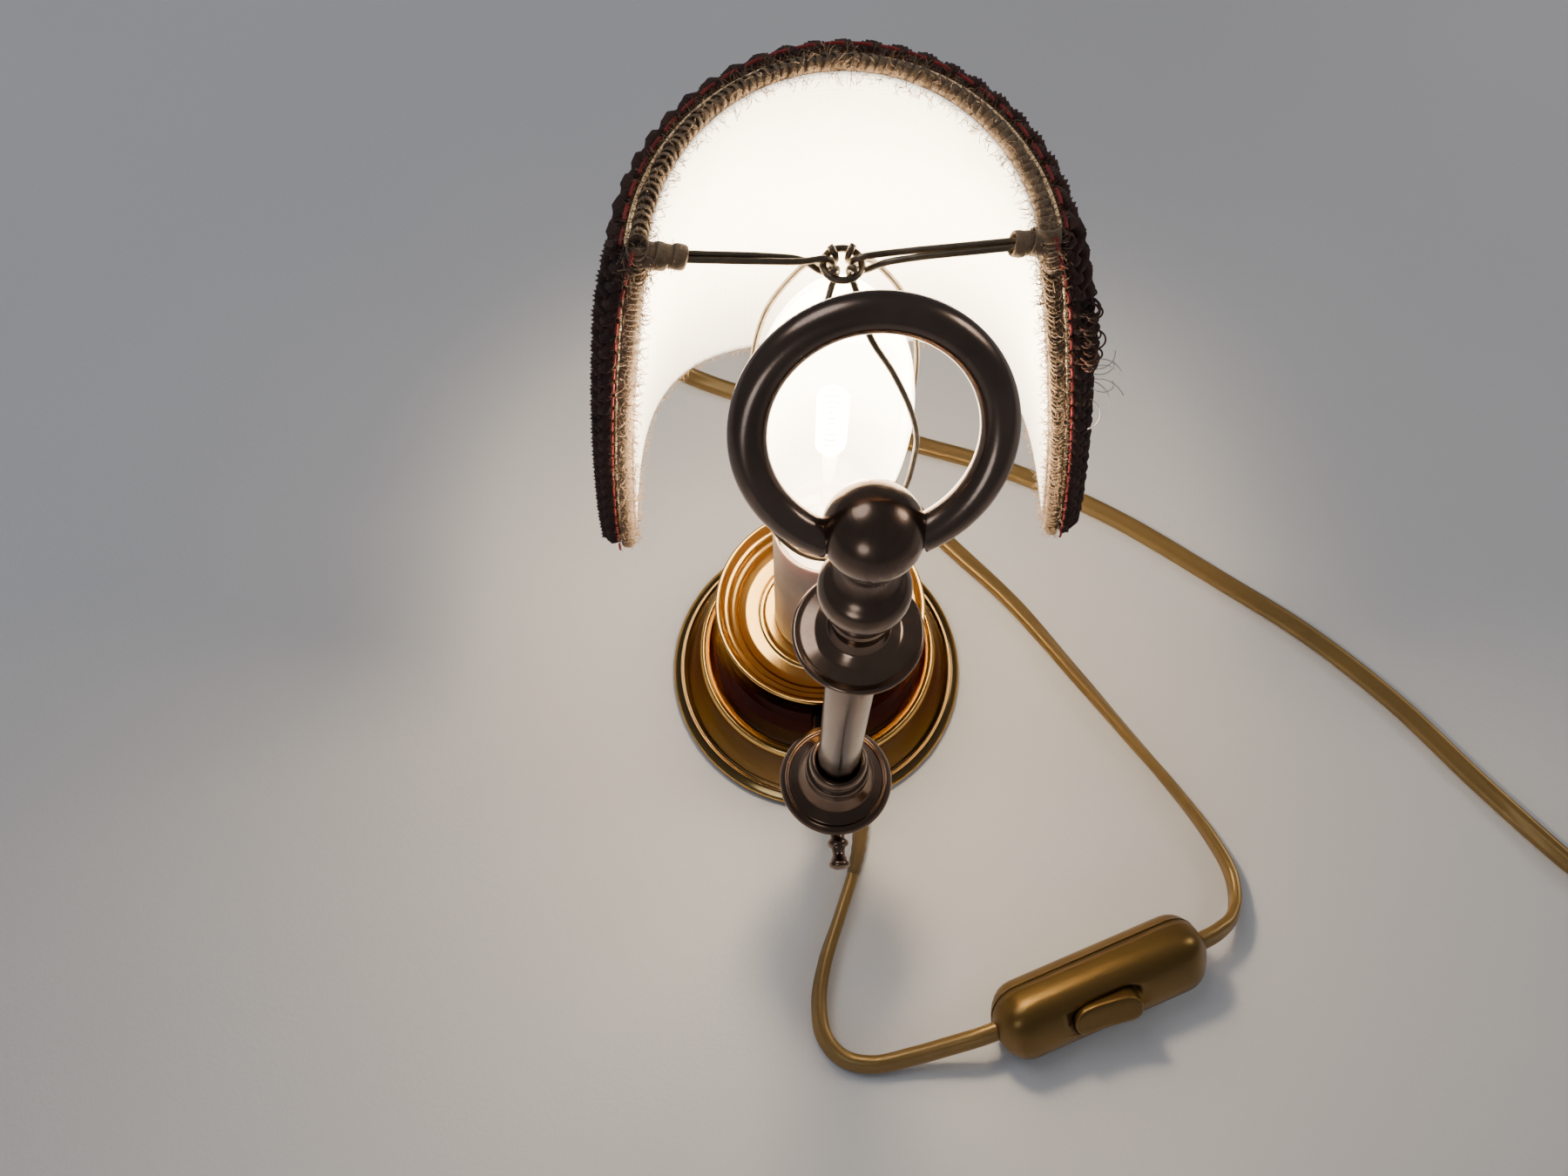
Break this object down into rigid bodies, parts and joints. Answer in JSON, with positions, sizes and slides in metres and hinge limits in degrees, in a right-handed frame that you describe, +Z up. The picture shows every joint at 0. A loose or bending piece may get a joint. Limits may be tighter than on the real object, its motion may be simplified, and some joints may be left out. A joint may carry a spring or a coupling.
{
  "type": "banker desk lamp",
  "caption": "Small brass candle style desk lamp with a side stem and ring handle, a half shield shade clipped on the bulb, and a flat cord with a rocker switch.",
  "frame": {"origin": "centre of the underside of the felt pad, on the table", "axes": "+Z up along the candle sleeve, the side stem stands on the -Y side, the closed side of the half shade faces +Y"},
  "size_m": [0.3874, 0.3368, 0.2474],
  "materials": {
    "brass": "polished antique brass with clear lacquer and light patina",
    "old_brass": "dark bronzed brass, polished",
    "iron": "plain cast filler weight",
    "felt": "dark felt",
    "steel_wire": "grey brown plated wire and hardware",
    "candle": "cream candle sleeve with a soft sheen",
    "porcelain": "white lampholder body",
    "nickel": "bright nickel plate",
    "glass": "clear glass",
    "tape": "beige cotton binding tape",
    "lining": "white shade lining",
    "cover": "cream shade cover",
    "trim": "dark brown and wine red braid",
    "flex": "satin gold bronze flexible cord",
    "switch_shell": "satin gold bronze moulded plastic"
  },
  "bodies": {
    "base": {"felt_pad": "felt", "base_shell": "brass", "base_weight": "iron", "centre_tube": "steel_wire", "lock_nut": "steel_wire", "dish_nut": "brass", "candle_sleeve": "candle", "lampholder": "porcelain", "bulb_cap": "nickel", "bulb_glass": "glass", "bulb_filament": "glass", "side_arm": "brass", "stem_socket": "old_brass", "lower_flange": "old_brass", "cord_grommet": "flex", "cord_lamp": "flex", "switch_upper": "switch_shell", "switch_lower": "switch_shell", "switch_screw_a": "steel_wire", "switch_screw_b": "steel_wire", "cord_mains": "flex", "cord_coil": "flex", "cord_tail": "flex", "plug_body": "switch_shell", "plug_pin_a": "nickel", "plug_pin_b": "nickel"},
    "stem": {"stem_rod": "old_brass", "upper_disc": "old_brass", "bell_collar": "old_brass", "stem_ball": "old_brass"},
    "ring": {"ring_handle": "old_brass"},
    "thumb": {"thumb_screw": "old_brass"},
    "clip": {"clip_ring": "steel_wire", "clip_loop_far": "steel_wire", "clip_loop_near": "steel_wire"},
    "shade": {"frame_top": "tape", "frame_bottom": "tape", "post_right": "tape", "post_left": "tape", "rib_right": "steel_wire", "rib_middle": "steel_wire", "rib_left": "steel_wire", "shade_lining": "lining", "shade_cover": "cover", "trim_top": "trim", "trim_bottom": "trim", "trim_right": "trim", "trim_left": "trim", "arm_right": "steel_wire", "arm_left": "steel_wire", "binding_right": "tape", "binding_left": "tape"},
    "rocker": {"switch_rocker": "switch_shell"}
  },
  "joints": [
    {"name": "stem_slide", "type": "slide", "parent": "base", "child": "stem", "axis": [0, 0, 1], "range_m": [0, 0.012]},
    {"name": "ring_swing", "type": "hinge", "parent": "stem", "child": "ring", "pos_m": [0, -0.0539, 0.218], "axis": [1, 0, 0], "range_deg": [-40, 95]},
    {"name": "thumb_screw_turn", "type": "hinge", "parent": "base", "child": "thumb", "pos_m": [0, -0.0639, 0.057], "axis": [0, -1, 0], "continuous": true},
    {"name": "shade_turn", "type": "hinge", "parent": "base", "child": "clip", "pos_m": [0, 0, 0.209], "axis": [0, 0, 1], "range_deg": [-50, 50]},
    {"name": "shade_tilt", "type": "hinge", "parent": "clip", "child": "shade", "pos_m": [0, 0, 0.209], "axis": [1, 0, 0], "range_deg": [-6, 6]},
    {"name": "switch_rock", "type": "hinge", "parent": "base", "child": "rocker", "pos_m": [0.07363, -0.10933, 0.01471], "axis": [-0.204, 0.6096, 0.766], "range_deg": [0, 14]}
  ]
}
